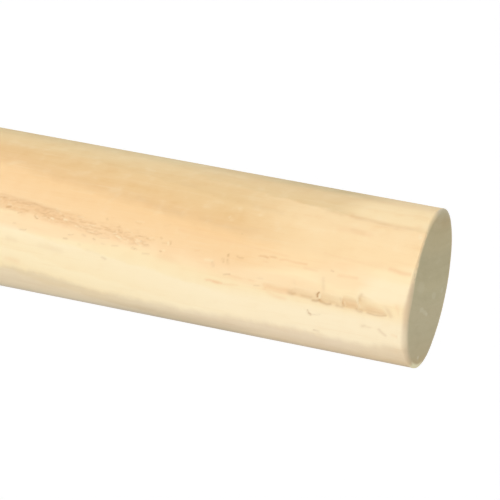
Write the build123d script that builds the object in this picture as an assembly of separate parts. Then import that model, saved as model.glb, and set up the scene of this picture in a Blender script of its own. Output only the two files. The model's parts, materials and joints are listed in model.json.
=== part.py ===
from build123d import *
import math
import os

# A wooden dowel rod: one round rod of solid wood with its ends cut square and eased.
# Millimetres. The rod stands on its lower end, with +Z along the grain.
# The origin is the middle of the lower end, and the front of the rod is its -Y side.

rod_diameter = 25.4  # one-inch stock
rod_length = 304.8  # a twelve-inch length
end_easing = 0.7  # radius sanded round the rim of each end

# Torn grain: where the cutter lifted the fibres, flakes broke out of the surface one after
# another along one growth ring. Each flake has a steep lip on one side and a broken step at
# its lower end, is deepest in the corner between them, and fades out round the rod and
# up the grain.
torn_reach = 1.0  # how much further than its fade a flake's outline runs, clear of the wood
torn_clearance = 2.0  # how far a cut runs out past the surface
# below top: from the upper end down to the broken step      turn: of the lip, from the front
# length: up the grain, to where it runs out                 depth: in the corner
# fade: round the rod, from lip to sound wood                bow: of the broken step
torn_flakes = [
    dict(below_top=23.2, length=7.5, turn=22.4, depth=0.08, fade=1.1, bow=0.10),
    dict(below_top=18.6, length=8.5, turn=23.4, depth=0.17, fade=1.5, bow=0.15),
    dict(below_top=14.2, length=8.0, turn=24.4, depth=0.28, fade=1.9, bow=0.20),
    dict(below_top=10.3, length=7.0, turn=25.0, depth=0.34, fade=2.2, bow=0.25),
    dict(below_top=7.6, length=5.0, turn=25.6, depth=0.32, fade=2.9, bow=0.45),
]

# Nicks: small dents, each a narrow slot that may be bowed. The last ones are the deepest pits
# of a second strip, further down, where the grain was lifted but did not break out.
nick_width = 0.22
nick_depth = 0.12
# below top and turn place its middle      rise and across: from end to end, up the grain and round
# bow: of its middle, square to that line
nicks = [
    dict(below_top=15.4, turn=34.0, rise=0.9, across=0.9, bow=0.22),
    dict(below_top=6.5, turn=36.5, rise=1.0, across=0.1, bow=0.05),
    dict(below_top=3.6, turn=39.5, rise=0.8, across=0.7, bow=0.05),
    dict(below_top=29.3, turn=3.6, rise=0.1, across=0.2, bow=0.02),
    dict(below_top=40.3, turn=10.0, rise=0.2, across=0.1, bow=0.02),
    dict(below_top=51.5, turn=10.5, rise=0.3, across=0.1, bow=0.02),
    dict(below_top=56.2, turn=14.0, rise=0.6, across=0.1, bow=0.04),
    dict(below_top=59.6, turn=1.6, rise=0.3, across=0.2, bow=0.03),
    dict(below_top=61.6, turn=2.9, rise=0.5, across=0.4, bow=0.06),
    dict(below_top=66.4, turn=-0.8, rise=0.6, across=-0.2, bow=0.05),
]

rod_radius = rod_diameter / 2
grain = Vector(0, 0, 1)


def outward(turn):
    """The direction straight out of the rod, turned from the front about the grain."""
    angle = math.radians(turn)
    return Vector(math.sin(angle), -math.cos(angle), 0)


def surface_plane(below_top, turn, depth=0.0, slope_up=0.0, slope_round=0.0):
    """A plane facing out of the rod: x up the grain, y round the rod towards smaller turns."""
    out = outward(turn)
    around = out.cross(grain)
    middle = out * (rod_radius - depth) + grain * (rod_length - below_top)
    return Plane(
        origin=middle,
        x_dir=grain + out * slope_up,
        z_dir=out - grain * slope_up - around * slope_round,
    )


def make_blank():
    """The rod before any wear: a round bar with eased rims."""
    half_section = make_face(
        Polyline(
            (0, 0),
            (rod_radius, 0),
            (rod_radius, rod_length),
            (0, rod_length),
            close=True,
        )
    )
    rim_corners = half_section.vertices().filter_by(lambda corner: corner.X > 0)
    eased_section = fillet(rim_corners, end_easing)
    return revolve(Plane.XZ * eased_section, Axis.Z)


def make_flake(below_top, length, turn, depth, fade, bow):
    """The chip of wood that broke out: its floor is flat, and runs out at the surface."""
    surface_drop = fade**2 / (2 * rod_radius)
    floor = surface_plane(
        below_top,
        turn,
        depth,
        slope_up=depth / length,
        slope_round=(depth - surface_drop) / fade,
    )
    reach = fade + torn_reach
    lip = Line((0, 0), (length, 0))
    upper_side = Line((length, 0), (length, reach))
    far_side = Line((length, reach), (0, fade))
    step = ThreePointArc((0, fade), (-bow, fade / 2), (0, 0))
    outline = make_face(Curve() + [lip, upper_side, far_side, step])
    return extrude(floor * outline, depth + torn_clearance)


def make_nick(below_top, turn, rise, across, bow):
    """The slot that a nick leaves, from its floor out past the surface."""
    span = math.hypot(rise, across)
    middle = (-bow * across / span, -bow * rise / span)
    path = ThreePointArc((-rise / 2, across / 2), middle, (rise / 2, -across / 2))
    slot = SlotArc(path, nick_width)
    floor = surface_plane(below_top, turn, nick_depth)
    return extrude(floor * slot, nick_depth + torn_clearance)


dowel_rod = make_blank()
for flake in torn_flakes:
    dowel_rod -= make_flake(**flake)
for nick in nicks:
    dowel_rod -= make_nick(**nick)

parts = {"dowel_rod": dowel_rod}

os.makedirs("parts", exist_ok=True)
for node, solid in parts.items():
    export_step(solid, f"parts/{node}.step")
    print(node, "solids", len(solid.solids()), "volume", round(solid.volume, 1), "mm3")
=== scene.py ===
import json
import math
import random

import bpy
import numpy as np
from mathutils import Matrix, Vector, noise


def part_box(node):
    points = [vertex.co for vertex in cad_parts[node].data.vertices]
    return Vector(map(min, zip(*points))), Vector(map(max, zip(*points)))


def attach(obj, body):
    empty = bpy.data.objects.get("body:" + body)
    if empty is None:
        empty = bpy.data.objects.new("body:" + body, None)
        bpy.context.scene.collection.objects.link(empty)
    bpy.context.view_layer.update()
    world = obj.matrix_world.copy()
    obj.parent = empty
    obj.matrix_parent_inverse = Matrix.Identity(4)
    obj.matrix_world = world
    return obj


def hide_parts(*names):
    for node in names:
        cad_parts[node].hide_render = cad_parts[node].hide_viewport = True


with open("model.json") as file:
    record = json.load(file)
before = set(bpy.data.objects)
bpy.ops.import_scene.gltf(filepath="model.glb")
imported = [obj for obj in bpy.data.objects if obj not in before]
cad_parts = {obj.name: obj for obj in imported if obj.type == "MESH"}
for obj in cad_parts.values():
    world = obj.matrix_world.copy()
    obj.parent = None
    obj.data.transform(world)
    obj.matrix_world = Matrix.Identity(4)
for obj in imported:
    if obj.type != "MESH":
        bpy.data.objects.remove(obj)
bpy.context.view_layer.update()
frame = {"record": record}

mm = 0.001
roundSide = next(m for m in frame["record"]["mounts"] if m["name"] == "round_side")
rodRadius = roundSide["dims"]["r_mm"]
degreeArc = math.pi * rodRadius / 180  # mm round the side in one degree
lowCorner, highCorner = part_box("dowel_rod")
rodLength = (highCorner.z - lowCorner.z) / mm
print(f"rod {2 * rodRadius:.1f} mm thick and {rodLength:.1f} mm long")

# Everything about the rod is in millimetres. A place on its side is given by how far it is
# below the upper end, and by its turn: degrees round from the front (-Y) towards +X.

rod = dict(
    # how the rims are eased, which differs round the upper one:
    # turn, mm down the side, mm into the face
    upperEasing=[(-180, 0.6, 0.5), (-125, 0.3, 0.25), (-100, 0.15, 0.12), (-82, 0.2, 0.25), (-66, 0.5, 0.7),
                 (-48, 0.35, 0.7), (-35, 0.08, 0.8), (-25, 0.05, 0.85), (-15, 0.18, 1.25), (-5, 0.35, 1.3),
                 (4, 0.6, 1.65), (10, 0.8, 1.65), (15, 1.0, 1.5), (21, 1.3, 0.95), (28, 1.15, 0.7),
                 (37, 1.35, 0.65), (47, 1.4, 0.65), (60, 0.9, 0.6), (78, 0.5, 0.45), (90, 0.2, 0.3),
                 (100, 0.12, 0.25), (125, 0.2, 0.2), (140, 0.5, 0.5), (180, 0.6, 0.5)],
    lowerEasing=0.65,
    rimWander=0.08,  # how far the easing's width wanders, in long waves and short ones
    rimWaves=[(7, 1.0, 0.4), (22, 0.5, 2.4)],  # how many, how strong, and their seed
    outOfRound=0.025,
    roundWave=50,  # degrees, of the slow waves in that
    roundSeed=7.7,
    endWaviness=0.03,  # mm deep, the waves that the saw left on the ends
    endWave=3,  # mm wide
    endWaveSeed=9,
    endWaveMiddle=0.6,  # share of the depth that they go up and down about
    sharpFrom=40,  # degrees at which an edge is shaded sharp
    # up to this turn, a column of faces every so many degrees
    columnBands=[(-45, 3.5), (-14, 2.0), (15, 0.7), (27, 0.5), (45, 1.0), (62, 1.6), (180, 3.5)],
    # down to so many mm below the upper end, a row of faces every so many mm
    rowBands=[(2.0, 0.25), (19.0, 0.18), (39.0, 0.30), (68.0, 0.19)],
    quarterRow=1.0,  # from there to a quarter of the way down
    lowerRow=3.8,  # and from there on
    rimRows=6,
    upperSqueeze=4,  # over so many mm, the side's rows make room for the eased rim
    lowerSqueeze=8,
    upperRings=24,
    lowerRings=8,
    ringCrowding=1.5,  # above 1, the end's rings of faces crowd together near its rim
    rimGrain=0.6,  # how much end grain shows where the easing meets the face
    rimGrainDepth=0.8,  # it all shows so many mm further in
)

# Where everything goes on the flat map: left, bottom and map units per mm for each quarter of
# the side from the upper end down, then the middle and map units per mm for the two ends
flatMap = dict(
    strips=[(0.004, 0.004, 0.0078), (0.632, 0.004, 0.0045), (0.632, 0.354, 0.0045), (0.004, 0.608, 0.0045)],
    top=(0.475, 0.808, 0.0075),
    bottom=(0.79, 0.82, 0.0075),
)

# The same flakes as the solid's: torn out one after another along a growth ring
tornStrip = dict(
    flakes=[
        dict(below=23.2, length=7.5, turn=22.4, depth=0.08, fade=1.1, bow=0.10),
        dict(below=18.6, length=8.5, turn=23.4, depth=0.17, fade=1.5, bow=0.15),
        dict(below=14.2, length=8.0, turn=24.4, depth=0.28, fade=1.9, bow=0.20),
        dict(below=10.3, length=7.0, turn=25.0, depth=0.34, fade=2.2, bow=0.25),
        dict(below=7.6, length=5.0, turn=25.6, depth=0.32, fade=2.9, bow=0.45),
    ],
    lipWidth=0.35,  # of the slope at the lip
    stepWidth=0.18,  # and at the broken step
    # noises: mm down the side, mm round it (inf is the same all round), its seed, strength
    lipWaves=[(1.1, math.inf, 3.1, 1.0), (0.35, math.inf, 5.2, 0.5)],
    lipWander=0.07,
    fibres=[(3.0, 0.22, 1.7, 1.0), (0.8, 0.3, 8.3, 0.6)],
    fibreRelief=0.04,
    fibresShow=0.06,  # depth from which the fibres show in full
    fullyTorn=0.2,  # and from which it is painted as dark as it gets: partly the torn fibres' brown, partly painted shade in the hollow
)

# A fuzzy strip further down, where the same ring was lifted but not torn out
fuzzyStrip = dict(
    seed=11,
    path=[(80, -9), (67, -4), (60, -1.5), (50, 3), (45, 4.5), (41.5, 6)],  # mm below, turn
    halfWidth=1.2,
    softEdge=(1.2, 0.5),  # in half widths: where it ends, and where it is full
    raggedEdge=[(2.2, 0.7, 4.4, 0.5)],
    upperFade=3.0,  # mm over which it begins
    lowerFade=9.0,  # and over which it runs out
    sink=0.04,
    rough=[(1.0, 0.32, 6.1, 1.0), (0.5, 0.2, 2.9, 0.7)],
    relief=0.03,
    speckle=0.25,
    flecks=70,
    flecksStop=5,  # mm above the strip's lower end
    fleckScatter=0.55,  # in half widths
    fleckLength=(0.35, 1.3),
    fleckWidth=(0.12, 0.22),
    fleckStrength=(0.12, 0.38),
    fleckLean=16,
)

# All the wear is on this part of the side
wornSide = dict(
    lowest=84,
    furthest=62,
    dentDepth=0.12,  # of a mark of strength 1
    burrDepth=0.05,
    stainAndShadeShare=0.85,  # how strong a mark is, and how much its noise breaks it up
    stainAndShadeWaves=(1.6, 0.8, 0.4),
)

# Dents and burrs, each a line of places with its width in mm and its strength: a dent is
# dark and cut in, and a burr, with a strength below 0, is light and stands up. The dark is
# partly the torn wood's own brown and partly painted shade in the dents, and the light is partly
# the raised fibres' own paler colour and partly painted highlight on their lit edges.
strokes = [
    # the fuzzy strip
    ([(66.8, -0.3), (66.2, -1.2)], 0.3, 0.55),
    ([(66.7, -2.5), (66.2, -2.8)], 0.26, -0.37),
    ([(66.5, 0.3), (65.3, 1.3)], 0.19, 0.25),
    ([(64.4, -0.8), (63.9, -1.1), (63.2, -0.3)], 0.19, 0.25),
    ([(62.9, -5.8), (61.9, -6.2)], 0.19, 0.31),
    ([(61.9, -6.2), (61, -5), (59.7, -4.8), (58.7, -5.2), (58, -4.2)], 0.24, 0.19),
    ([(61.9, 2), (61.6, 3.5), (61.4, 3.8)], 0.19, 0.6),
    ([(61.67, 2.2), (61.4, 2.9)], 0.19, -0.6),
    ([(59.8, 1.2), (59.5, 2)], 0.19, 0.4),
    ([(59.5, 2.7), (59.3, 3)], 0.17, -0.5),
    ([(59.4, 0), (58.8, 0.3)], 0.19, 0.3),
    ([(59.1, 1.4), (58.7, 1.8)], 0.24, -0.9),
    ([(58.5, 1), (57.7, 1.5), (57.1, 1)], 0.19, 0.22),
    ([(57.4, -1.8), (57.1, -1.2)], 0.24, 0.37),
    ([(57, -2.2), (56.8, -1.6)], 0.17, -0.25),
    ([(57, 0.6), (56.5, 0.6)], 0.27, -0.8),
    ([(56.7, 1.8), (56.3, 2.2)], 0.26, 0.2),
    ([(56, 1.6), (54.9, 2), (54.3, 3.4), (53.9, 3.8)], 0.26, 0.28),
    ([(55, 3.8), (54.3, 4.1)], 0.19, -0.6),
    ([(53.2, 4.8), (52.5, 4.5), (51.9, 4)], 0.2, 0.2),
    ([(52.9, 5.4), (51.8, 5.7)], 0.17, -0.55),
    ([(52.6, 0.2), (51.7, -0.3)], 0.24, 0.22),
    ([(52.9, 1.2), (51.7, 1)], 0.19, -0.5),
    ([(51.7, 5), (51.3, 4.5)], 0.26, 0.25),
    ([(53, 6), (51.9, 6.7), (51.3, 7), (51, 6.3), (50.4, 5.6)], 0.2, 0.31),
    ([(50, 2.2), (49.4, 2.5), (48.6, 2.9), (48.3, 2)], 0.24, 0.31),
    ([(48.5, 4.7), (48, 4.2), (47.5, 3.9), (46.9, 6.4)], 0.19, 0.22),
    ([(48, 5), (47.4, 5.8), (47, 6.9)], 0.19, -0.9),
    ([(48.5, 3.9), (48, 3.6)], 0.15, -0.6),
    ([(47.8, 0.2), (47.7, 1.6)], 0.2, 0.3),
    ([(47.6, 2.2), (47.2, 2.5)], 0.26, 0.36),
    ([(46.7, 4.2), (46.1, 4.9), (45.4, 4.8), (45, 6.2), (44.9, 6.8)], 0.24, 0.25),
    ([(44.9, 2.3), (44.1, 2)], 0.21, 0.08),
    ([(44.6, 4.8), (44.4, 5.6), (43.8, 5.6)], 0.22, -0.7),
    ([(44.7, 6.5), (44.1, 8), (43.6, 9)], 0.24, -0.6),
    ([(43.7, 5.4), (43.6, 7), (43.2, 7.6), (42.6, 7.3)], 0.3, 0.28),
    ([(43.3, 5.6), (43.2, 6.4)], 0.19, -0.31),
    ([(43, 2.8), (42.7, 3)], 0.26, 0.37),
    ([(50.5, 8.8), (49.1, 7.9)], 0.2, 0.19),
    # small pits round it
    ([(65.3, 10), (64.9, 9.8)], 0.23, 0.2),
    ([(64.1, 13.8), (63.2, 13.6), (63.1, 13)], 0.25, 0.28),
    ([(56.6, 14), (56, 13.9)], 0.22, 0.42),
    ([(55.9, 10.8), (55.1, 10.2)], 0.16, 0.28),
    ([(55.9, 9.9), (55.3, 9.6)], 0.18, -0.32),
    ([(51.7, 10.2), (51.4, 10.8)], 0.23, 0.38),
    ([(53.5, 8.8), (53.1, 9.4)], 0.41, 0.22),
    ([(54, 16.4), (53.8, 16.4)], 0.36, 0.1),
    ([(50.3, 12.6), (49.7, 12.6)], 0.2, 0.2),
    ([(49.9, 22.6), (49.4, 23.4)], 0.41, 0.24),
    ([(48.5, 12.6), (47.5, 12)], 0.25, 0.2),
    ([(47.7, -1.3), (47.6, -1.2)], 0.27, 0.22),
    ([(50, -5.5), (49.9, -5)], 0.32, 0.26),
    ([(45.3, -7.2), (44.8, -6.3), (44.3, -6.6)], 0.2, 0.12),
    ([(45.1, -8), (43.9, -8)], 0.2, -0.24),
    ([(43.3, 14), (42.3, 13.5)], 0.27, 0.2),
    ([(40.7, 0.5), (40.5, 1)], 0.27, 0.26),
    ([(40.5, 9.8), (40.3, 10.2)], 0.24, 0.44),
    ([(40, 8.8), (39.8, 8.9)], 0.24, -0.5),
    ([(40.5, -8), (39.6, -10)], 0.25, 0.06),
    ([(40.3, 4), (39.6, 3.6)], 0.24, 0.16),
    ([(39.4, 2.6), (39.3, 4.2)], 0.22, -0.6),
    ([(39.1, 1.6), (39, 3.9)], 0.22, 0.32),
    ([(33.1, 9.8), (31.9, 9.6)], 0.4, -0.45),
    ([(31.8, 10.6), (31.6, 13.2)], 0.42, 0.18),
    ([(30.2, 6.8), (30.1, 9)], 0.36, 0.26),
    ([(29.4, 3.2), (29.4, 4.2)], 0.3, 0.5),
    ([(29.4, 6.8), (29.3, 9.6)], 0.32, 0.27),
    ([(28.1, 3), (27.7, 3.9), (27, 3.8)], 0.26, 0.28),
    ([(24.5, 0.1), (23.8, -0.2)], 0.3, 0.16),
    ([(23.5, 0), (23.2, 0.2)], 0.3, 0.22),
    ([(22.7, -0.9), (22, -1)], 0.3, 0.2),
    ([(24.2, 15.7), (23.5, 15.5)], 0.35, 0.12),
    ([(29.6, -31.5), (29.3, -30.5)], 0.5, -0.3),
    ([(30.7, -23.5), (30.2, -22)], 0.35, -0.3),
    ([(26.2, -30), (25.8, -30)], 0.45, -0.28),
    ([(26.5, -48), (25.9, -46)], 0.6, -0.2),
    ([(28.1, -13), (27.9, -13)], 0.23, 0.2),
    ([(12.9, 0.5), (12.5, 1)], 0.25, 0.32),
    ([(12.3, 17.2), (12.2, 17.3)], 0.23, -0.2),
    # a raised fibre on the rim, its light colour a painted glint
    ([(0.82, -36.4), (0.62, -36)], 0.32, -1.6),
    # the torn strip, from where it begins to its pointed end
    ([(29.7, 17.8), (29.3, 17.2), (28.8, 16.8)], 0.28, 0.3),
    ([(24.7, 21.5), (23.9, 21)], 0.25, 0.2),
    ([(19.1, 22), (18.5, 22.6), (18.2, 22)], 0.5, 0.25),
    ([(17, 22.4), (15.5, 22.6)], 0.5, 0.18),
    ([(15.2, 24), (14.7, 24), (14.2, 23.4), (13.8, 24.2), (12.9, 24.9), (12.3, 24.3)], 0.42, 0.48),
    ([(14.3, 17.4), (14.55, 19.2), (14.5, 20.8)], 0.23, 1.05),
    ([(14.05, 18.6), (14.15, 21.6)], 0.22, -0.95),
    ([(11.3, 24.5), (10.4, 24.9)], 0.42, 0.34),
    ([(10.8, 18.5), (10.5, 21), (10.3, 24)], 0.42, 0.16),
    ([(10.97, 20), (10.87, 21.2)], 0.2, -0.4),
    ([(10.2, 20.8), (10, 23.6)], 0.2, -0.5),
    ([(7.6, 13), (7.9, 15.3), (7.7, 17.6)], 0.5, 0.24),
    ([(7.57, 17.5), (7.4, 20)], 0.45, 0.08),
    ([(8.17, 17.6), (7.97, 19.8), (7.67, 22.4)], 0.26, -0.6),
    ([(8.1, 24.6), (7.7, 25.6), (7.3, 25.6)], 0.45, 0.33),
    ([(6.4, 25.5), (5.3, 26.1), (4.3, 25.9), (3.4, 24.9)], 0.28, 0.36),
    ([(3.7, 19), (3.2, 20.6), (2.9, 22.6), (2.7, 24.5)], 0.65, 0.1),
    ([(3.8, 20.5), (3.27, 22.8)], 0.22, -0.4),
    # the nicks beside it
    ([(16.4, 31.8), (16.3, 31.9)], 0.3, 0.06),
    ([(15.9, 32.3), (15.8, 34), (15.6, 34.9)], 0.22, 0.55),
    ([(15.7, 34.7), (15.4, 35.6)], 0.34, 0.66),
    ([(15.4, 35.5), (13.9, 34.2)], 0.22, 0.2),
    ([(7.1, 36.9), (6.7, 36.2)], 0.55, 0.26),
    ([(6.7, 36.8), (5.9, 36.9)], 0.4, 0.16),
    ([(4.4, 37), (4.1, 38.6), (3.4, 41)], 0.48, 0.28),
    ([(15, 50), (14.2, 50.4)], 0.3, 0.5),
]

# Marks that lie in the wood, each a line of places with its width and strength: reddish ones,
# and brown ones along the torn strip, partly the torn fibres' brown and partly painted shade under its lip
redMarks = [
    ([(24.5, 0), (23.5, -0.5), (23, 0.5)], 0.35, 0.85),
    ([(22.8, -1), (21.7, -0.9)], 0.32, 0.9),
    ([(21.2, 0), (20.3, -0.9), (18.7, -0.3), (16.9, -0.5)], 0.35, 0.75),
    ([(17.1, 2.3), (15.1, 2.6)], 0.5, 0.42),
    ([(11.6, 3), (8.7, 2.6)], 0.5, 0.5),
    ([(13.3, -30), (11.5, -31.3), (10, -30.6), (8.3, -30.2)], 0.9, 0.45),
    ([(14.5, -10.3), (11.8, -9.6), (9.6, -8.8), (6.8, -8.6)], 0.4, 0.28),
    ([(8, -8.2), (5.6, -9.2), (3.9, -8.2)], 1, 0.26),
    ([(3.9, -7.8), (2.3, -7), (-0.4, -6.8)], 0.8, 0.75),
    ([(38.1, -7.5), (30.1, -6), (20.1, -3.5)], 0.4, 0.35),
    ([(32.5, 24.3), (32, 23.6), (31.5, 24.2), (30.7, 24), (30, 24.6)], 0.45, 0.7),
    ([(31.4, 24.2), (30.6, 24.5)], 0.55, 1.00),
    ([(34.9, 4.9), (34.2, 4.4)], 0.35, 0.45),
    ([(40.2, 12.6), (38.5, 13.2)], 1.6, 0.28),
    ([(29.5, 24.8), (27.3, 23.4)], 0.35, 0.25),
    ([(28.8, 17.5), (26.9, 18.5)], 0.35, 0.42),
    ([(25.6, 18.2), (24.8, 18.3)], 0.3, 0.48),
    ([(23.7, 3), (23, 3.2)], 0.3, 0.5),
    ([(23.2, 19), (22.9, 21), (23, 22.5)], 0.45, 0.55),
    ([(22.6, 20.5), (21.3, 20.5), (20.5, 21), (19.3, 20.8)], 1.2, 0.62),
    ([(22.4, 24.5), (21.3, 26), (19.7, 26.6)], 0.8, 0.4),
    ([(66.2, 39), (64.5, 40)], 1.2, 0.25),
    ([(2.3, 39.5), (1.2, 40.5)], 0.6, 0.35),
    ([(1.9, 17), (1.4, 21.5)], 0.6, 0.3),
    ([(12.1, -43.5), (9, -42), (6, -41.2), (3.5, -41.5), (1.6, -43.5)], 1, 0.34),
    ([(10, 21.4), (8.4, 21.6)], 1.3, 0.6),
    ([(6.4, 22.4), (4.2, 23.4)], 1, 0.4),
]
brownMarks = [
    ([(18.7, 21.2), (15.3, 21.6)], 1.1, 0.45),
    ([(15, 22.6), (11.3, 23.2)], 1, 0.5),
    ([(15, 19.2), (11, 19.4)], 0.9, 0.25),
    ([(13.9, 7), (13.6, 15.5)], 0.6, 0.32),
    ([(18, 19.6), (15, 20)], 1, 0.26),
    ([(14, 20.2), (10.8, 21.2)], 1, 0.3),
    ([(7.2, 22.2), (3.8, 23.2)], 1.1, 0.38),
    ([(8.4, 25.2), (6.8, 25.6)], 0.8, 0.2),
    ([(10.1, 22.6), (8.4, 22.9)], 1.15, 0.6),
    ([(7.3, 14.5), (7.1, 18.5)], 0.9, 0.22),
    ([(10.1, 19.4), (8.4, 19.2)], 1.1, 0.45),
    ([(7.3, 24.2), (5.7, 24.4), (3.7, 24)], 0.85, 0.58),
    ([(3.3, 21), (2.7, 24.5)], 0.9, 0.26),
    ([(18.5, 12.5), (18.2, 15)], 0.4, 0.12),
    # brown ones away from the torn strip, in the wood itself
    ([(67.6, -7.5), (63, -6.5), (58.5, -4)], 1, 0.28),
    ([(11.2, -31.2), (9.5, -30.3)], 0.8, 0.2),
    ([(16.1, -42.9), (12.1, -43.2)], 0.8, 0.16),
    ([(12.1, -43.2), (8.1, -41.8), (4.6, -40.5)], 0.9, 0.36),
    ([(4.6, -40.5), (2.1, -41.5), (-0.4, -44.5)], 0.9, 0.22),
    ([(46, -25.5), (44, -22.5), (41, -19.8)], 0.8, 0.2),
    ([(40, -20), (38.2, -18.2)], 0.8, 0.26),
    ([(35.2, -18), (33.4, -18.4)], 0.6, 0.18),
    ([(32.5, -15.6), (28, -16), (25.8, -17.5)], 0.7, 0.15),
    ([(40, -43.6), (37.9, -43.4)], 0.8, 0.2),
    ([(27.6, -35.5), (23, -34.5)], 1, 0.16),
    ([(60.5, 22.5), (57, 23.6)], 1.1, 0.16),
    ([(66, 22), (64.8, 22.3)], 0.9, 0.18),
    ([(52.5, 19.5), (50.5, 20.6)], 0.6, 0.12),
]


def grainNoise(x, y, z):
    return noise.noise(Vector((x, y, z)))


def noiseOver(rows, columns, rowScale, columnScale, seed):
    made = np.zeros(rows.shape)
    for index, (a, b) in enumerate(zip(rows.ravel(), columns.ravel())):
        made.flat[index] = grainNoise(a / rowScale, b / columnScale, seed)
    return made


def layered(below, turn, noises):
    # noises over the side, added up
    made = 0.0
    for down, around, seed, strength in noises:
        made = made + strength * noiseOver(below, turn * degreeArc, down, around, seed)
    return made


def lineMask(below, turn, places, width):
    # 1 on a line of places on the side, fading out within its width
    nearest = np.full(below.shape, np.inf)
    for (belowA, turnA), (belowB, turnB) in zip(places, places[1:]):
        alongX, alongY = belowB - belowA, (turnB - turnA) * degreeArc
        fromX, fromY = below - belowA, (turn - turnA) * degreeArc
        share = np.clip((fromX * alongX + fromY * alongY) / (alongX**2 + alongY**2), 0, 1)
        nearest = np.minimum(nearest, np.hypot(fromX - share * alongX, fromY - share * alongY))
    return np.exp(-((nearest / (width / 2)) ** 2))


def bandsToPlaces(start, bands):
    # evenly spaced places from the start to the end of each band
    places = [start]
    for end, spacing in bands:
        count = max(1, round((end - places[-1]) / spacing))
        places += list(np.linspace(places[-1], end, count + 1)[1:])
    return np.array(places)


def flakeDepth(flake, below, turn, wander):
    # a flat floor, deepest in the corner between the lip and the bowed step
    up = flake["below"] - below
    around = np.radians(flake["turn"] - turn) * rodRadius + wander
    fade = flake["fade"]
    slopeRound = (flake["depth"] - fade**2 / (2 * rodRadius)) / fade
    floor = flake["depth"] * (1 - up / flake["length"])
    floor = floor - around * slopeRound - around**2 / (2 * rodRadius)
    bowed = up + flake["bow"] * (1 - (2 * around / fade - 1) ** 2)
    soft = np.clip(around / tornStrip["lipWidth"], 0, 1) * np.clip(bowed / tornStrip["stepWidth"], 0, 1)
    return np.maximum(floor, 0) * soft**2 * (3 - 2 * soft)


def tornDepth(below, turn):
    wander = layered(below, turn, tornStrip["lipWaves"]) * tornStrip["lipWander"]
    depth = np.zeros(below.shape)
    for flake in tornStrip["flakes"]:
        depth = np.maximum(depth, flakeDepth(flake, below, turn, wander))
    return depth


def fuzzyShare(below, turn):
    # how much of the fuzzy strip is at each place: its edges are ragged and its ends fade
    path = sorted(fuzzyStrip["path"])
    middle = np.interp(below, [p[0] for p in path], [p[1] for p in path])
    away = np.abs(turn - middle) * degreeArc / fuzzyStrip["halfWidth"]
    away = away + layered(below, turn, fuzzyStrip["raggedEdge"])
    none, full = fuzzyStrip["softEdge"]
    ends = np.clip((below - path[0][0]) / fuzzyStrip["upperFade"], 0, 1)
    ends = ends * np.clip((path[-1][0] - below) / fuzzyStrip["lowerFade"], 0, 1)
    return np.clip((none - away) / (none - full), 0, 1) * ends


def looseFlecks():
    # short dents and burrs scattered over the fuzzy strip, nearly in line with the grain
    path = sorted(fuzzyStrip["path"])
    low, high = path[0][0], path[-1][0] - fuzzyStrip["flecksStop"]
    rng = random.Random(fuzzyStrip["seed"])
    flecks = []
    for _ in range(fuzzyStrip["flecks"]):
        at = rng.uniform(low, high)
        turnHere = np.interp(at, [p[0] for p in path], [p[1] for p in path])
        turnHere += rng.gauss(0, fuzzyStrip["fleckScatter"]) * fuzzyStrip["halfWidth"] / degreeArc
        half = rng.uniform(*fuzzyStrip["fleckLength"]) / 2
        lean = math.radians(rng.gauss(0, fuzzyStrip["fleckLean"]))
        rise, across = half * math.cos(lean), half * math.sin(lean) / degreeArc
        line = [(at + rise, turnHere - across), (at - rise, turnHere + across)]
        # one in three stands up
        strength = rng.uniform(*fuzzyStrip["fleckStrength"]) * rng.choice((1, 1, -1))
        flecks.append((line, rng.uniform(*fuzzyStrip["fleckWidth"]), strength))
    return flecks


def stainAndShade(below, turn, lines):
    # the strongest of these marks at each place, a little broken up; the brown ones along the torn strip
    # are partly painted shade
    stainedAndShaded = np.zeros(below.shape)
    down, around, size = wornSide["stainAndShadeWaves"]
    for line, width, strength in lines:
        broken = wornSide["stainAndShadeShare"] + layered(below, turn, [(down, around, line[0][0], size)])
        stainedAndShaded = np.maximum(stainedAndShaded, lineMask(below, turn, line, width) * strength * broken)
    return stainedAndShaded


def wearMap(below, turn):
    # how deep the wear is at each place, and how torn, fuzzy, pitted and so on the wood is there
    near = (below < wornSide["lowest"]) & (np.abs(turn) < wornSide["furthest"])
    b, t = below[near], turn[near]

    depth = tornDepth(b, t)
    torn = np.clip(depth / tornStrip["fullyTorn"], 0, 1)
    fibres = layered(b, t, tornStrip["fibres"]) * tornStrip["fibreRelief"]
    depth = np.maximum(depth + np.minimum(depth / tornStrip["fibresShow"], 1) * fibres, 0)

    fuzzy = fuzzyShare(b, t)
    rough = layered(b, t, fuzzyStrip["rough"])
    depth += fuzzy * (fuzzyStrip["sink"] + fuzzyStrip["relief"] * rough)
    pitted = fuzzy * np.clip(rough, 0, 1) * fuzzyStrip["speckle"]
    lifted = fuzzy * np.clip(-rough, 0, 1) * fuzzyStrip["speckle"]

    for line, width, strength in strokes + looseFlecks():
        # only what is near the mark is worked out
        middle = sum(p[0] for p in line) / len(line)
        close = np.abs(b - middle) < abs(line[0][0] - line[-1][0]) / 2 + 3 * width + 1
        mask = lineMask(b[close], t[close], line, width)
        if strength > 0:
            depth[close] += mask * strength * wornSide["dentDepth"]
            pitted[close] = np.maximum(pitted[close], mask * strength)
        else:
            depth[close] += mask * strength * wornSide["burrDepth"]
            lifted[close] = np.maximum(lifted[close], -mask * strength)

    outOfRound = noiseOver(np.ones(below.shape), turn, 1, rod["roundWave"], rod["roundSeed"])
    wear = rod["outOfRound"] * (1 + outOfRound)
    wear[near] += depth
    found = dict(torn=torn, fuzzy=fuzzy, pitted=pitted, lifted=lifted)
    found.update(reddened=stainAndShade(b, t, redMarks), browned=stainAndShade(b, t, brownMarks))
    marks = {}
    for name, local in found.items():
        marks[name] = np.zeros(below.shape)
        marks[name][near] = local
    return wear, marks


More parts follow.
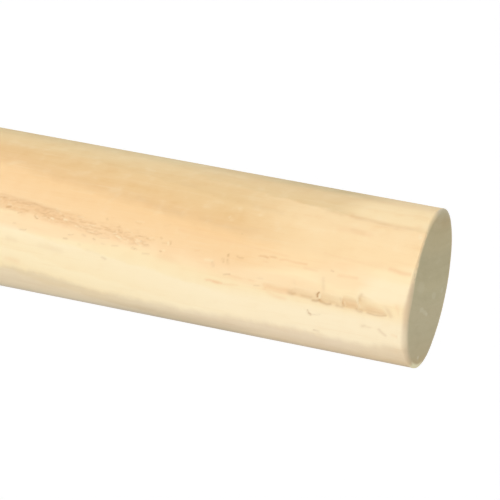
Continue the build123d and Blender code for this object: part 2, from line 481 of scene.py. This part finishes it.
def easedRims(turns):
    # mm that the rims' easing takes, all the way round: the upper one down and in, the lower one
    angles = [math.radians(t) for t in turns]
    waves = 0.0
    for count, strength, seed in rod["rimWaves"]:
        noises = [grainNoise(math.cos(a) * count, math.sin(a) * count, seed) for a in angles]
        waves = waves + strength * np.array(noises)
    waves = waves * rod["rimWander"]
    given, downs, inwards = zip(*rod["upperEasing"])
    lower = rod["lowerEasing"] + np.roll(waves, len(turns) // 2)
    return np.interp(turns, given, downs) + waves, np.interp(turns, given, inwards) + waves, lower


def endRows(turns, down, inward, rings, top):
    # rows of places on an end, from near its middle out and over its eased rim
    angles = [math.radians(t) for t in turns]
    wave, steps = rod["endWave"], rod["rimRows"]
    rows = []

    def add(kind, radius, dip, grain):
        rows.append(dict(kind=kind, radius=radius, height=rodLength - dip if top else dip, grain=grain))

    for ring in range(1, rings + 1):
        share = 1 - (1 - ring / rings) ** rod["ringCrowding"]
        radius = (rodRadius - inward) * share
        places = [(r * math.sin(a) / wave, r * math.cos(a) / wave) for r, a in zip(radius, angles)]
        waves = np.array([grainNoise(x, y, rod["endWaveSeed"]) for x, y in places])
        # the saw's waves die out towards the rim
        dip = rod["endWaviness"] * np.maximum(rod["endWaveMiddle"] + waves, 0) * min(1, 2 - 2 * share)
        inside = np.clip((rodRadius - inward - radius) / rod["rimGrainDepth"], 0, 1)
        grain = rod["rimGrain"] + (1 - rod["rimGrain"]) * inside
        add("top" if top else "bottom", radius, dip, grain)
    for step in range(1, steps + 1):
        angle = math.pi / 2 * step / steps
        grain = np.full(len(turns), rod["rimGrain"] * (1 - step / steps))
        add("rim", rodRadius - inward * (1 - math.sin(angle)), down * (1 - math.cos(angle)), grain)
    return rows


def rodRows(turns):
    # rows of places from the middle of the upper end, over its rim, down the side and under
    upperDown, upperIn, lowerEasing = easedRims(turns)
    radius, grain = np.full(len(turns), rodRadius), np.zeros(len(turns))
    quarter = rodLength / 4
    bands = rod["rowBands"] + [(quarter, rod["quarterRow"])]
    bands += [(quarter * k, rod["lowerRow"]) for k in (2, 3, 4)]
    side = []
    for place in bandsToPlaces(0, bands)[1:-1]:
        below = place + upperDown * max(0, 1 - place / rod["upperSqueeze"])
        below = below - lowerEasing * max(0, 1 - (rodLength - place) / rod["lowerSqueeze"])
        side.append(dict(kind="side", radius=radius, height=rodLength - below, grain=grain))
    upper = endRows(turns, upperDown, upperIn, rod["upperRings"], top=True)
    lower = endRows(turns, lowerEasing, lowerEasing, rod["lowerRings"], top=False)
    return upper + side + lower[::-1]


def stripStarts(kinds, heights):
    # the row where each quarter of the side starts on the flat map, the first one with its rim
    starts = [kinds.index("rim") - 1]
    sideRows = [row for row, kind in enumerate(kinds) if kind == "side"]
    for quarter in (1, 2, 3):
        goal = rodLength * (1 - quarter / 4)
        starts.append(min(sideRows, key=lambda row: abs(heights[row] - goal)))
    return starts


def rodFaces(turns, kinds, radius, height):
    # the faces between the rows, and where each of their corners lies on the flat map
    columns = len(turns) - 1
    outline = np.concatenate([[0], np.cumsum(np.hypot(np.diff(radius[:, 0]), np.diff(height[:, 0])))])
    starts = stripStarts(kinds, height.mean(1))
    topMiddle, bottomMiddle = radius.size, radius.size + 1

    def endPlace(end, row, column):
        middleU, middleV, scale = flatMap[end]
        reach = 0.0 if row is None else radius[row][column % columns] * scale
        angle = math.radians(turns[column])
        return middleU + reach * math.sin(angle), middleV + reach * math.cos(angle)

    def sidePlace(strip, row, column):
        left, bottom, scale = flatMap["strips"][strip]
        around = math.radians(turns[column] + 180) * rodRadius
        return left + around * scale, bottom + (outline[row] - outline[starts[strip]]) * scale

    faces, places = [], []
    for row in range(len(kinds) - 1):
        onEnd = kinds[row] == kinds[row + 1] and kinds[row] in ("top", "bottom")
        strip = sum(row >= start for start in starts) - 1
        for column in range(columns):
            right = (column + 1) % columns
            faces.append((row * columns + column, (row + 1) * columns + column,
                          (row + 1) * columns + right, row * columns + right))
            for r, c in ((row, column), (row + 1, column), (row + 1, column + 1), (row, column + 1)):
                places.append(endPlace(kinds[row], r, c) if onEnd else sidePlace(strip, r, c))
    last = len(kinds) - 1
    for column in range(columns):
        right = (column + 1) % columns
        faces.append((topMiddle, column, right))
        corners = ((None, column), (0, column), (0, column + 1))
        places += [endPlace("top", r, c) for r, c in corners]
        faces.append((bottomMiddle, last * columns + right, last * columns + column))
        corners = ((None, column), (last, column + 1), (last, column))
        places += [endPlace("bottom", r, c) for r, c in corners]
    return faces, places


def buildRod():
    turns = bandsToPlaces(-180, rod["columnBands"])
    rows = rodRows(turns[:-1])
    keys = ("radius", "height", "grain")
    radius, height, endGrain = (np.array([row[key] for row in rows]) for key in keys)
    kinds = [row["kind"] for row in rows]
    turn = np.tile(turns[:-1], (len(rows), 1))

    side = [row for row, kind in enumerate(kinds) if kind == "side"]
    depth, wornMarks = wearMap(rodLength - height[side], turn[side])
    radius[side] -= depth
    print(f"rod surface: {len(rows)} rows of {len(turns) - 1} faces, deepest wear {depth.max():.2f} mm")

    angle = np.radians(turn)
    points = np.stack([radius * np.sin(angle), -radius * np.cos(angle), height], -1).reshape(-1, 3)
    points = np.vstack([points, [0, 0, rodLength - rod["endWaviness"]], [0, 0, rod["endWaviness"]]])
    faces, places = rodFaces(turns, kinds, radius, height)

    mesh = bpy.data.meshes.new("dowel_rod_wood")
    mesh.from_pydata((points * mm).tolist(), [], faces)
    flat = mesh.uv_layers.new(name="OFBake")
    flat.data.foreach_set("uv", np.array(places, np.float32).ravel())

    def store(name, grid, middles):
        layer = mesh.attributes.new(name, "FLOAT", "POINT")
        layer.data.foreach_set("value", np.append(grid.ravel(), [middles, middles]).astype(np.float32))

    store("endGrain", endGrain, 1.0)
    for name, local in wornMarks.items():
        grid = np.zeros(radius.shape)
        grid[side] = local
        store(name, grid, 0.0)
    mesh.shade_smooth()
    mesh.set_sharp_from_angle(angle=math.radians(rod["sharpFrom"]))
    piece = bpy.data.objects.new("dowel_rod_wood", mesh)
    bpy.context.scene.collection.objects.link(piece)
    print(f"rod mesh: {sum(len(f) - 2 for f in faces)} triangles")
    return piece


class Wire:
    # a shader socket that can stand in a sum
    def __init__(self, finish, socket):
        self.finish = finish
        self.socket = socket

    def __add__(self, other):
        return self.finish.calculate("ADD", self, other)

    def __radd__(self, other):
        return self.finish.calculate("ADD", other, self)

    def __sub__(self, other):
        return self.finish.calculate("SUBTRACT", self, other)

    def __rsub__(self, other):
        return self.finish.calculate("SUBTRACT", other, self)

    def __mul__(self, other):
        return self.finish.calculate("MULTIPLY", self, other)

    def __rmul__(self, other):
        return self.finish.calculate("MULTIPLY", other, self)

    def __truediv__(self, other):
        return self.finish.calculate("DIVIDE", self, other)

    def __pow__(self, other):
        return self.finish.calculate("POWER", self, other)

    def __abs__(self):
        return self.finish.calculate("ABSOLUTE", self)

    def __neg__(self):
        return self * -1.0


class Finish:
    # the nodes of a material, or of the world, and the ways to add to them
    def __init__(self, owner, shader="Principled BSDF"):
        self.owner = owner
        owner.use_nodes = True
        self.tree = owner.node_tree
        self.shader = self.tree.nodes[shader]

    def connect(self, value, socket):
        if isinstance(value, Wire):
            self.tree.links.new(value.socket, socket)
        else:
            socket.default_value = value

    def node(self, kind, settings=None, inputs=(), output=0):
        made = self.tree.nodes.new("ShaderNode" + kind)
        for key, value in (settings or {}).items():
            if key == "stops":
                ramp = made.color_ramp
                while len(ramp.elements) < len(value):
                    ramp.elements.new(1.0)
                for stop, (place, colour) in zip(ramp.elements, value):
                    stop.position = place
                    stop.color = colour
            elif key == "points":
                curve = made.mapping.curves[0]
                while len(curve.points) < len(value):
                    curve.points.new(0.5, 0.5)
                for point, place in zip(curve.points, value):
                    point.location = place
                made.mapping.update()
            else:
                setattr(made, key, value)
        pairs = inputs.items() if isinstance(inputs, dict) else enumerate(inputs)
        for key, value in pairs:
            self.connect(value, made.inputs[key])
        return Wire(self, made.outputs[output])

    def calculate(self, operation, *values):
        return self.node("Math", dict(operation=operation), values)

    def vector(self, *parts):
        return self.node("CombineXYZ", inputs=parts)

    def curve(self, value, points):
        return self.node("FloatCurve", dict(points=points), {"Value": value})

    def noise(self, place, scale, detail=2.0, roughness=0.5):
        scaled = self.node("VectorMath", dict(operation="MULTIPLY"), [place, scale])
        inputs = {"Vector": scaled, "Scale": 1.0, "Detail": detail, "Roughness": roughness}
        return self.node("TexNoise", inputs=inputs)

    def ease(self, value, low, high, atLow=0.0, atHigh=1.0):
        settings = dict(interpolation_type="SMOOTHSTEP")
        return self.node("MapRange", settings, [value, low, high, atLow, atHigh])

    def oval(self, across, along, middle, half, soft):
        # 1 in the middle of an oval, fading out round its edge
        away = ((across - middle[0]) / half[0]) ** 2.0 + ((along - middle[1]) / half[1]) ** 2.0
        return self.ease(away, *soft)

    def mix(self, factor, a, b, kind="MIX"):
        # a Mix node's colours are its sockets 6 and 7, and the mixed one is its output 2
        return self.node("Mix", dict(data_type="RGBA", blend_type=kind), {0: factor, 6: a, 7: b}, 2)

    def ramp(self, value, colours):
        low, high = colours[0][0], colours[-1][0]
        stops = [((at - low) / (high - low), paint(*colour)) for at, colour in colours]
        return self.node("ValToRGB", dict(stops=stops), [(value - low) / (high - low)])

    def fade(self, measures, fades, strength=1.0):
        # measures multiplied together, each as it is or eased from one value to another
        shares = []
        for fade in fades:
            if isinstance(fade, str):
                shares.append(measures[fade])
            else:
                shares.append(self.ease(measures[fade[0]], *fade[1:]))
        return math.prod(shares, start=strength)

    def layer(self, colour, patches, measures):
        # a colour with patches laid over it, one after another
        for tone, strength, fades, *kind in patches:
            colour = self.mix(self.fade(measures, fades, strength), colour, paint(*tone), *kind)
        return colour

    def feed(self, inputs):
        for name, value in inputs.items():
            self.connect(value, self.shader.inputs[name])


def paint(red, green, blue):
    # a screen colour, 0 to 255, as the shader's own linear one
    def linear(c):
        c = c / 255
        return c / 12.92 if c <= 0.04045 else ((c + 0.055) / 1.055) ** 2.4
    return (linear(red), linear(green), linear(blue), 1.0)


# Colours are screen colours, 0 to 255. A patch is its colour, how much of it, what it fades
# with, and how it goes on if it isn't just mixed in. A fade is a measure's name if it is used as
# it is. Where it is eased, the name is followed by where the patch is gone and where it is full,
# and by its shares there if they aren't 0 and 1. The measures are what makeWood works out:
# turn, below, ragged (which is below with a wavering edge), ring, endGrain and so on.

# Tones that more than one patch has
tones = dict(
    fibreDark=(236, 204, 156),
    fibreLight=(255, 240, 206),
    whitestEnd=(255, 238, 203),
    endDark=(170, 158, 122),
)

woodLook = dict(
    # growth rings: mm across the rod at the upper end, from +X to -X, and the colour there
    ringColours=[
        (-24, (250, 229, 186)), (-15.9, (253, 233, 191)), (-15.5, (250, 228, 182)),
        (-12.5, (254, 235, 193)), (-12, (253, 232, 188)), (-9, (254, 235, 195)),
        (-8.6, (253, 232, 187)), (-7, (253, 229, 183)), (-5.9, (253, 222, 175)),
        (-5, (251, 216, 168)), (-4, (249, 213, 163)), (-2, (248, 210, 158)),
        (-0.3, (247, 208, 154)), (1.3, (236, 197, 143)), (3, (236, 199, 144)),
        (5.2, (237, 203, 149)), (5.6, (234, 200, 146)), (7.9, (238, 206, 154)),
        (8.2, (235, 205, 154)), (14, (237, 209, 162)),
    ],
    pithAway=75,  # the pith is so many mm from the axis towards -X
    pithFront=6,  # and towards the front
    # how far the rings drift towards -X on the way down: share of the length, share of driftSize
    ringDrift=[(0, 0), (0.05, 0.06), (0.1, 0.17), (0.13, 0.235), (0.165, 0.335), (0.2, 0.44),
               (0.23, 0.545), (0.36, 0.77), (0.5, 0.85), (0.66, 0.68), (0.82, 0.45), (1, 0.38)],
    driftSize=12,
    # how the rings wander: how many waves to a mm along X, Y and Z, and their size in mm
    ringWander=[((0.03, 0.03, 0.05), 0.9), ((0.25, 0.25, 0.2), 0.5), ((0.7, 0.7, 0.4), 1.1)],
    raggedScale=(0.2, 0.2, 0.08),  # the same for ragged edges
    raggedSize=8,

    # paler towards the upper end, soonest below the third ring edge, in the wood's own colour; within
    # 15 mm of the end, and most towards -X, the paler tone is painted light: how much, and its fades
    palerFades=[
        (0.75, [("ragged", 31, 16), ("ring", 8.3, 7.7)]),
        (0.15, [("ragged", 15, 5)]),
        (0.6, [("ragged", 15, 5), ("turn", -38, -48)]),
    ],
    palerAbout=-10,  # the turn that this fades out on both sides of
    # the edge of the palest wedge at the front: its turn, how far down, and degrees to a mm
    wedge=(12, 28, 0.85),
    upperEnd=[
        ((253, 223, 175), 1, ["paler", ("aside", 110, 80)]),
        ((254, 232, 187), 0.8, [("wedge", -3, 4), ("below", 32, 24), ("turn", 90, 50)]),
        (tones["whitestEnd"], 0.8, [("turn", 22, 34), ("turn", 80, 60), ("below", 60, 10)]),
    ],
    # warmer patches at the front: turn and half its width, below and half its length, strength
    warmPatches=[
        (8, 6.5, 59, 13, 0.5),
        (16.5, 7, 21, 9, 0.42),
        (2, 9, 10.5, 5, 0.42),
    ],
    warmSoft=(1.7, 0.3),
    warmTone=(252, 215, 169),
    sidePatches=[
        (tones["whitestEnd"], 0.5, [("ragged", 9, 4), ("turn", -3, 4), ("turn", 20, 12)]),
        # on the -X side: a paler patch near the upper end, which is painted light, and a duller one
        ((255, 230, 182), 0.75, [("turn", -38, -44), ("turn", -69, -62), ("ragged", 15, 10)]),
        ((228, 232, 226), 0.55,
         [("turn", -66, -76), ("turn", -112, -88), ("ragged", 34, 19), ("ragged", 9, 15)], "MULTIPLY"),
        # and what lies further round there
        ((240, 218, 170), 0.4, [("turn", -48, -60), ("turn", -140, -100), ("below", 34, 46)]),
        ((234, 240, 243), 1, [("turn", -58, -86), ("turn", -140, -100)], "MULTIPLY"),
    ],

    # painted shade: past a scalloped line, where the lamps' light falls off, the side is painted greyer;
    # its turn goes from a low turn over a span of degrees, given as 0 to 1 for shares of the length
    shadeLineTurns=[(0, 0.48), (0.012, 0.54), (0.033, 0.7), (0.065, 0.56), (0.09, 0.6), (0.115, 0.74),
               (0.14, 0.7), (0.165, 0.66), (0.185, 0.5), (0.21, 0.34), (0.26, 0.3), (0.36, 0.6),
               (0.5, 0.35), (0.62, 0.7), (0.8, 0.4), (1, 0.6)],
    shadeLineLow=40,
    shadeLineSpan=20,
    scallops=((1, 1, 0.42), 3, 0.55),
    scallopTurn=0.05,
    scallopSize=9,
    shadeLineSoft=-4.2,  # degrees past the line where the painted shade begins
    shadeLineFull=(44, 56, 6, 4.2),  # mm below, from and to, then degrees past the line where it is full
    shadeBack=(160, 140),  # the turns between which it fades out again at the back
    shadeTone=(236, 235, 240),
    shadeTints=[
        ((236, 232, 234), 1, [("below", 45, 28)]),
        ((236, 231, 228), 1, [("below", 14, 3)]),
    ],
    # painted shade: darker again past the shade line, and darker in steps towards the +X silhouette
    pastSeam=[
        ((248, 247, 247), 1, [("pastSeam", 4, 16), "grey"], "MULTIPLY"),
        ((240, 243, 242), 1, [("turn", 62, 82), ("turn", 160, 130)], "MULTIPLY"),
        ((245, 244, 244), 1,
         [("turn", 57, 68), ("ragged", 20, 34), ("ragged", 56, 42), ("turn", 105, 80)], "MULTIPLY"),
        ((235, 236, 247), 1, [("turn", 71, 85), ("turn", 140, 105)], "MULTIPLY"),
    ],

    # noises: how many waves to a mm along X, Y and Z, their detail and their roughness
    coarseFibres=((1.1, 1.1, 0.07), 3, 0.6),
    fineFibres=((6, 6, 0.25), 2, 0.6),
    coarseShare=0.6,
    fineShare=0.4,
    # soft mottling, which leans across the grain as the cutter left it
    mottling=((0.45, 1, 0.32), 2, 0.5),
    mottlingTurn=0.22,
    mottlingLean=0.05,
    fibrePatches=[
        (tones["fibreDark"], 0.14, [("streak", 0, 0.28)], "MULTIPLY"),
        (tones["fibreLight"], 0.15, [("streak", 0, -0.28)]),
        (tones["fibreDark"], 0.1, [("mottling", 0.5, 0.75), ("turn", -10, -22, 0.6, 1.2)], "MULTIPLY"),
        (tones["fibreLight"], 0.12, [("mottling", 0.5, 0.25), ("turn", -10, -22, 0.6, 1.2)]),
    ],
    wearShadeAndHighlights=[
        # the torn strip, darker the deeper it is: partly the torn fibres' own brown, partly painted shade
        # in the hollow
        ((240, 206, 156), 0.35, ["torn"]),
        ((240, 199, 149), 1, ["fuzzy", ("below", 52, 58, 0.4, 0.85)]),
        ((243, 198, 147), 0.85, ["reddened"]),
        ((219, 183, 138), 0.85, ["browned"]),
        # lifted and pitted: partly the fibres' own colour, partly painted highlights on raised fibres and
        # painted shade in dents
        ((255, 236, 197), 0.85, ["lifted"]),
        ((172, 113, 55), 0.75, ["pitted"]),
    ],

    # the rings as the end grain shows them, with its pores: the end grain's own darker colour,
    # with painted shade in it too, for the end turned away from the light
    endColours=[
        (-12.3, (188, 168, 125)), (-10.8, (188, 174, 138)), (-7, (189, 178, 143)),
        (-4.2, (191, 179, 144)), (-1.6, (187, 177, 141)), (-0.3, (190, 179, 142)),
        (1.2, (184, 173, 136)), (4.3, (184, 173, 137)), (6.3, (189, 176, 138)),
        (8.6, (186, 172, 133)), (10.2, (185, 167, 127)), (11.8, (188, 176, 141)),
    ],
    endWander=(0.5, 0.2, 0.2),
    endMottle=((0.6, 0.16, 0.3), 3, 0.6),
    pores=((6, 1.6, 6), 2, 0.7),
    ringLines=1.3,  # how many fine lines to a mm
    endPatches=[
        ((198, 189, 155), 0.22, [("endMottle", 0.5, 0.72)]),
        (tones["endDark"], 0.22, [("endMottle", 0.5, 0.28)]),
        (tones["endDark"], 0.12, [("ringLine", 0.45, 0.6)]),
        (tones["endDark"], 0.15, [("pores", 0.5, 0.75)]),
        ((212, 206, 178), 1, ["specks", ("below", 4, 3)]),
    ],
    # pale specks and a fainter patch on the upper end: X, Y, half their width and length, strength
    endSpecks=[
        (3.5, -2.8, 0.42, 1.5, 0.34),
        (3.8, -0.4, 0.4, 1.5, 0.3),
        (4.05, 1.2, 0.32, 0.9, 0.36),
        (1, 3.9, 0.6, 1.6, 0.24),
        (-0.1, 9.1, 0.5, 0.8, 0.2),
        (10.95, 0.85, 0.3, 0.7, 0.4),
        (0.1, -6.3, 0.9, 2.6, 0.16),
    ],
    speckSoft=(1.6, 0.1),

    # the eased rim, where the side's colour goes over into the end's
    rimPatches=[
        ((238, 201, 165), 0.6, [("endGrain", 0.02, 0.3), ("turn", -10, 5), ("turn", 40, 20)]),
        ((217, 208, 188), 0.9, [("endGrain", 0.02, 0.3), ("turn", -60, -82), ("turn", -140, -115)]),
        # painted shade: the eased rim darker between turns 20 and 80
        ((243, 239, 240), 1, [("endGrain", 0.02, 0.3), ("turn", 20, 32), ("turn", 80, 62)], "MULTIPLY"),
    ],
    endFrom=0.08,
    endFull=0.85,
    endMottling=0.2,
    # at the front the side's colour goes on round the rim, to a line of small teeth
    toothedRim=[("turn", -48, -38), ("turn", 4, -6)],
    toothReach=0.24,
    toothSize=1.1,
    teeth=((1.5, 1.5, 1.5), 1),
    teethFade=[("endGrain", 0.1, 0.35)],
    # and towards +X the rim is painted pale for a short way: painted light on the eased rim, as the white
    # backdrop lights it
    floorLitRim=[
        ((228, 219, 178), 1,
         [("turn", 72, 84), ("turn", 116, 102), ("endGrain", 0, 0.12), ("endGrain", 0.9, 0.65)]),
    ],

    refraction=1.45,
    shine=0.3,
    roughness=0.62,
    fineRoughness=0.2,
    tornRoughness=0.1,
    endRoughness=0.15,
    # relief, in mm
    fineRelief=0.02,
    coarseRelief=0.03,
    poreRelief=0.03,
    rippleRelief=0.03,
    ripples=((1, 1, 0.7), 1),
    rippleTurn=0.02,
    bumpStrength=0.5,
)


def makeWood():
    f = Finish(bpy.data.materials.new("softwood"))
    look = woodLook
    metres = f.node("TexCoord", output="Object")
    place = f.node("VectorMath", dict(operation="SCALE"), {"Vector": metres, "Scale": 1 / mm})
    x, y, z = (f.node("SeparateXYZ", inputs=[place], output=axis) for axis in "XYZ")
    below = rodLength - z
    turn = f.calculate("ARCTAN2", x, -y) * (180 / math.pi)
    ragged = below + (f.noise(place, look["raggedScale"]) - 0.5) * look["raggedSize"]

    # growth rings about a pith far outside the rod, towards -X
    wander = sum((f.noise(place, scale) - 0.5) * size for scale, size in look["ringWander"])
    drift = f.curve(below / rodLength, look["ringDrift"]) * look["driftSize"]
    away = ((x + look["pithAway"]) ** 2.0 + (y + look["pithFront"]) ** 2.0) ** 0.5
    ring = look["pithAway"] - away - drift + wander
    side = f.ramp(ring, look["ringColours"])

    # what the patches fade with
    measures = dict(turn=turn, below=below, ragged=ragged, ring=ring)
    measures["aside"] = abs(turn - look["palerAbout"])
    for name in ("endGrain", "torn", "fuzzy", "pitted", "lifted", "reddened", "browned"):
        measures[name] = f.node("Attribute", dict(attribute_name=name), output="Fac")
    endGrain = measures["endGrain"]
    measures["paler"] = sum(f.fade(measures, fades, strength) for strength, fades in look["palerFades"])
    edgeTurn, edgeBelow, slant = look["wedge"]
    measures["wedge"] = turn - edgeTurn + (edgeBelow - ragged) * slant

    side = f.layer(side, look["upperEnd"], measures)
    for middleTurn, halfTurn, middleBelow, halfBelow, strength in look["warmPatches"]:
        middle, half = (middleTurn, middleBelow), (halfTurn, halfBelow)
        warm = f.oval(turn, ragged, middle, half, look["warmSoft"]) * strength
        side = f.mix(warm, side, paint(*look["warmTone"]))
    side = f.layer(side, look["sidePatches"], measures)

    # painted shade: past its scalloped line, where the lamps' light falls off, the side is painted greyer
    scallops = f.noise(f.vector(turn * look["scallopTurn"], 0.0, below), *look["scallops"])
    shadeLine = look["shadeLineLow"] + f.curve(below / rodLength, look["shadeLineTurns"]) * look["shadeLineSpan"]
    measures["pastSeam"] = turn - shadeLine - (scallops - 0.5) * look["scallopSize"]
    grey = f.ease(measures["pastSeam"], look["shadeLineSoft"], f.ease(below, *look["shadeLineFull"]))
    measures["grey"] = grey * f.ease(turn, *look["shadeBack"])
    shadeColour = f.layer(paint(*look["shadeTone"]), look["shadeTints"], measures)
    side = f.mix(measures["grey"], side, shadeColour, "MULTIPLY")
    side = f.layer(side, look["pastSeam"], measures)

    # fibres and mottling, then the wear
    coarse, fine = (f.noise(place, *look[name]) for name in ("coarseFibres", "fineFibres"))
    measures["streak"] = (coarse - 0.5) * look["coarseShare"] + (fine - 0.5) * look["fineShare"]
    leaning = f.vector(turn * look["mottlingTurn"], 0.0, below - turn * look["mottlingLean"])
    measures["mottling"] = f.noise(leaning, *look["mottling"])
    side = f.layer(side, look["fibrePatches"], measures)
    side = f.layer(side, look["wearShadeAndHighlights"], measures)
    side = f.layer(side, look["rimPatches"], measures)

    # end grain: the rings again, pores, and a few pale specks
    end = f.ramp(ring + f.noise(place, look["endWander"]) - 0.5, look["endColours"])
    mottle, pores = (f.noise(place, *look[name]) for name in ("endMottle", "pores"))
    ringLine = f.noise(f.vector(ring * look["ringLines"], 0.0, 0.0), (1.0, 1.0, 1.0))
    measures.update(endMottle=mottle, pores=pores, ringLine=ringLine)
    measures["specks"] = sum(
        f.oval(x, y, (across, along), (wide, long), look["speckSoft"]) * strength
        for across, along, wide, long, strength in look["endSpecks"]
    )
    end = f.layer(end, look["endPatches"], measures)

    # over the rim
    front = f.fade(measures, look["toothedRim"])
    teeth = (f.noise(place, *look["teeth"]) - 0.5) * (1 - endGrain) * front
    teeth = f.fade(measures, look["teethFade"], teeth * look["toothSize"])
    worn = endGrain + (mottle - 0.5) * look["endMottling"] + teeth
    endFrom = front * look["toothReach"] + look["endFrom"]
    limits = {"Value": worn, "From Min": endFrom, "From Max": look["endFull"]}
    tone = f.mix(f.node("MapRange", inputs=limits), side, end)
    tone = f.layer(tone, look["floorLitRim"], measures)

    rough = look["roughness"] + (fine - 0.5) * look["fineRoughness"]
    rough = rough + measures["torn"] * look["tornRoughness"] + endGrain * look["endRoughness"]
    ripples = f.noise(f.vector(turn * look["rippleTurn"], 0.0, below), *look["ripples"])
    relief = (fine - 0.5) * look["fineRelief"] + (coarse - 0.5) * look["coarseRelief"]
    relief = relief + (ripples - 0.5) * look["rippleRelief"] * (1 - endGrain)
    relief = relief + (pores - 0.5) * look["poreRelief"] * endGrain
    bump = f.node("Bump", inputs={"Strength": look["bumpStrength"], "Distance": mm, "Height": relief})
    f.feed({"Base Color": tone, "Roughness": rough, "Normal": bump})
    f.feed({"IOR": look["refraction"], "Specular IOR Level": look["shine"]})
    return f.owner


dowel = buildRod()
dowel.data.materials.append(makeWood())
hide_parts("dowel_rod")
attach(dowel, "root")
print("rod finished")

# The studio's places and sizes are in metres.
studio = dict(
    worldLevel=0.775,
    floorSize=6.0,
    floorTones=[(235, 235, 235), (228, 228, 228)],
    floorToneShare=0.15,
    floorGrain=60.0,  # waves to a metre
    floorRoughness=0.9,
    floorGlow=0.345,
    lamps=[
        dict(name="key", power=1.78, place=(0.38, -0.70, 0.16), size=0.5),
        dict(name="side", power=0.97, place=(-0.66, -0.30, 0.10), size=0.12),
    ],
    aim=0.85,  # the lamps aim at this share of the rod's length
)


def makeFloor():
    size = studio["floorSize"]
    corners = [(-size, -size, 0), (size, -size, 0), (size, size, 0), (-size, size, 0)]
    mesh = bpy.data.meshes.new("studio_floor")
    mesh.from_pydata(corners, [], [(0, 1, 2, 3)])
    floor = bpy.data.objects.new("studio_floor", mesh)
    bpy.context.scene.collection.objects.link(floor)
    f = Finish(bpy.data.materials.new("floor_paper"))
    grain = f.noise(f.node("TexCoord", output="Object"), (studio["floorGrain"],) * 3)
    tone = f.mix(grain * studio["floorToneShare"], *(paint(*tone) for tone in studio["floorTones"]))
    f.feed({"Base Color": tone, "Roughness": studio["floorRoughness"]})
    # it glows a little, only as the camera sees it
    rays = f.node("LightPath", output="Is Camera Ray")
    glow = f.node("Emission", inputs={"Color": (1, 1, 1, 1), "Strength": rays * studio["floorGlow"]})
    both = f.node("AddShader", inputs=[Wire(f, f.shader.outputs[0]), glow])
    f.connect(both, f.tree.nodes["Material Output"].inputs["Surface"])
    mesh.materials.append(f.owner)


def makeLamp(name, power, place, size, aim):
    light = bpy.data.lights.new(name, "AREA")
    light.shape = "DISK"
    light.size = size
    light.energy = power
    lamp = bpy.data.objects.new(name, light)
    lamp.location = place
    lamp.rotation_mode = "QUATERNION"
    lamp.rotation_quaternion = (Vector(aim) - Vector(place)).to_track_quat("-Z", "Y")
    lamp.visible_camera = False
    bpy.context.scene.collection.objects.link(lamp)


def makeWorld():
    world = bpy.data.worlds.new("studio")
    bpy.context.scene.world = world
    f = Finish(world, "Background")
    # white where it is seen, in gloss or through glass too, and dimmer where it only lights
    rays = ("Is Camera Ray", "Is Glossy Ray", "Is Transmission Ray")
    seen, glossy, through = (f.node("LightPath", output=ray) for ray in rays)
    seen = f.calculate("MAXIMUM", f.calculate("MAXIMUM", seen, glossy), through)
    level = f.node("MapRange", inputs={"Value": seen, "To Min": studio["worldLevel"], "To Max": 1.0})
    f.feed({"Color": (1, 1, 1, 1), "Strength": level})


view = dict(
    lens=196.72,  # mm, as is the sensor
    sensor=36.0,
    nearest=0.02,  # metres
    # from the middle of the upper end, in mm: out to the front, and up
    out=416.84,
    up=90.64,
    # where the camera's own right and top point
    right=(-0.18816, 0.27242, 0.94360),
    top=(-0.98214, -0.05362, -0.18036),
)


def makeCamera():
    camera = bpy.data.cameras.new("camera")
    camera.lens = view["lens"]
    camera.sensor_width = view["sensor"]
    camera.clip_start = view["nearest"]
    holder = bpy.data.objects.new("camera", camera)
    bpy.context.scene.collection.objects.link(holder)
    right = Vector(view["right"]).normalized()
    top = Vector(view["top"])
    top = (top - right * top.dot(right)).normalized()
    turned = Matrix((right, top, right.cross(top))).transposed()
    place = Vector((0.0, -view["out"], rodLength + view["up"])) * mm
    holder.matrix_world = Matrix.Translation(place) @ turned.to_4x4()
    bpy.context.scene.camera = holder


makeFloor()
for lamp in studio["lamps"]:
    makeLamp(**lamp, aim=(0, 0, rodLength * mm * studio["aim"]))
makeWorld()
makeCamera()
bpy.context.scene.view_settings.view_transform = "Standard"
print("studio ready")
